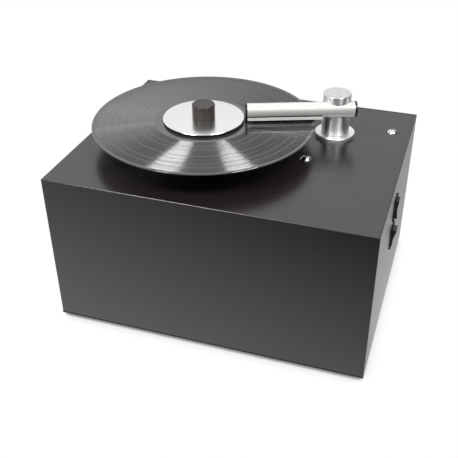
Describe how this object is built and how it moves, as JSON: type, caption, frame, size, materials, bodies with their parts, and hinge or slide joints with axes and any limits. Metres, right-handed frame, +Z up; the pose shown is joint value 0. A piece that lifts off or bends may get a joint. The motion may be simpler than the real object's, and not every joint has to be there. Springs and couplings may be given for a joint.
{
  "type": "record cleaning machine",
  "caption": "Table-top vacuum cleaner for vinyl records: a dark box cabinet, a driven platter with screw clamp, and a suction arm that lifts and swings.",
  "frame": {"origin": "on the floor, under the middle of the whole machine, its switches and drain tap included", "axes": "+X to the right seen from the front, +Y to the rear, +Z up"},
  "size_m": [0.437, 0.368, 0.285],
  "materials": {
    "composite_dark": "satin anodised composite sheet",
    "composite_back": "satin composite sheet with black core at its cut edges",
    "angle_aluminium": "mill finish",
    "black_screws": "black zinc",
    "foot_rubber": "matt",
    "lens_dark": "dark lens, unlit",
    "bearing_bronze": "sintered bronze",
    "spindle_steel": "ground steel",
    "platter_aluminium": "turned",
    "mat_rubber": "matt",
    "vinyl": "grooved gloss black",
    "pad_rubber": "matt",
    "clamp_aluminium": "bright turned face",
    "bush_brass": "machined",
    "knob_plastic": "fine matt, dark",
    "zinc_steel": "zinc plated",
    "gearbox_casting": "painted casting",
    "motor_can": "drawn can",
    "arm_polished": "polished",
    "bush_plastic": "white acetal",
    "post_satin": "turned, bright side and satin top",
    "shoe_satin": "satin",
    "velvet": "short black pile",
    "cap_plastic": "black moulded",
    "bolt_chrome": "chrome plated",
    "lid_plastic": "dark moulded",
    "tank_plastic": "natural moulded",
    "hose_rubber": "ribbed",
    "impeller_aluminium": "stamped",
    "motor_black": "black painted",
    "sleeve_foam": "soft foam rubber",
    "tap_brass": "machined",
    "lever_plastic": "black moulded",
    "inlet_plastic": "black moulded",
    "circuit_board": "green laminate",
    "switch_plastic": "black moulded",
    "rocker_plastic": "black moulded, fine texture"
  },
  "bodies": {
    "machine": {"front_panel": "composite_dark", "top_panel": "composite_dark", "left_panel": "composite_dark", "right_panel": "composite_dark", "rear_panel": "composite_back", "base_panel": "composite_back", "corner_angles": "angle_aluminium", "rails": "angle_aluminium", "panel_screws": "black_screws", "rubber_feet": "foot_rubber", "indicator_lens": "lens_dark", "spindle_bearing": "bearing_bronze", "motor_standoffs": "angle_aluminium", "motor_plate": "zinc_steel", "plate_screws": "black_screws", "gearbox": "gearbox_casting", "drive_motor": "motor_can", "arm_flange": "arm_polished", "flange_nut": "zinc_steel", "riser_bush": "bush_plastic", "tank_bolts": "bolt_chrome", "tank_nuts": "zinc_steel", "tank_lid": "lid_plastic", "tank_gasket": "mat_rubber", "waste_tank": "tank_plastic", "splash_baffle": "zinc_steel", "air_hose": "hose_rubber", "hose_clips": "zinc_steel", "fan_shroud": "zinc_steel", "vacuum_motor": "motor_black", "motor_rings": "mat_rubber", "tank_pad": "mat_rubber", "motor_cradle": "zinc_steel", "exhaust_sleeve": "sleeve_foam", "drain_tap": "tap_brass", "mains_inlet": "inlet_plastic", "control_board": "circuit_board", "switch_housings": "switch_plastic"},
    "platter": {"platter_spindle": "spindle_steel", "platter": "platter_aluminium", "platter_mat": "mat_rubber", "vinyl_record": "vinyl", "shaft_coupling": "zinc_steel"},
    "clamp": {"clamp_pad": "pad_rubber", "clamp_disc": "clamp_aluminium", "clamp_bush": "bush_brass", "clamp_knob": "knob_plastic"},
    "riser": {"suction_riser": "spindle_steel"},
    "arm": {"arm_post": "post_satin", "arm_tube": "arm_polished", "nozzle_shoe": "shoe_satin", "velvet_strips": "velvet", "tip_cap": "cap_plastic", "tail_cap": "cap_plastic", "tube_grub_screw": "black_screws"},
    "fan": {"fan_impeller": "impeller_aluminium"},
    "lever": {"drain_lever": "lever_plastic"},
    "drawer": {"fuse_drawer": "inlet_plastic"},
    "rotation_switch": {"rotation_rocker": "rocker_plastic"},
    "vacuum_switch": {"vacuum_rocker": "rocker_plastic"}
  },
  "joints": [
    {"name": "platter_spin", "type": "hinge", "parent": "machine", "child": "platter", "pos_m": [-0.05859, -0.0185, 0.252], "axis": [0, 0, 1], "continuous": true},
    {"name": "clamp_lift", "type": "slide", "parent": "platter", "child": "clamp", "axis": [0, 0, 1], "range_m": [0, 0.04]},
    {"name": "arm_lift", "type": "slide", "parent": "machine", "child": "riser", "axis": [0, 0, 1], "range_m": [0, 0.01]},
    {"name": "arm_swing", "type": "hinge", "parent": "riser", "child": "arm", "pos_m": [0.10901, 0.0542, 0.223], "axis": [0, 0, 1], "range_deg": [0, 90]},
    {"name": "fan_spin", "type": "hinge", "parent": "machine", "child": "fan", "pos_m": [-0.11359, 0.0692, 0.148], "axis": [1, 0, 0], "continuous": true},
    {"name": "drain_lever_turn", "type": "hinge", "parent": "machine", "child": "lever", "pos_m": [0.12801, 0.163, 0.0265], "axis": [0, 0, 1], "range_deg": [0, 90]},
    {"name": "fuse_drawer_slide", "type": "slide", "parent": "machine", "child": "drawer", "axis": [0, 1, 0], "range_m": [0, 0.018]},
    {"name": "rotation_rocker_tip", "type": "hinge", "parent": "machine", "child": "rotation_switch", "pos_m": [0.21141, -0.033, 0.1735], "axis": [0, 1, 0], "range_deg": [-10, 10]},
    {"name": "vacuum_rocker_tip", "type": "hinge", "parent": "machine", "child": "vacuum_switch", "pos_m": [0.21141, -0.033, 0.1292], "axis": [0, 1, 0], "range_deg": [-20, 0]}
  ]
}
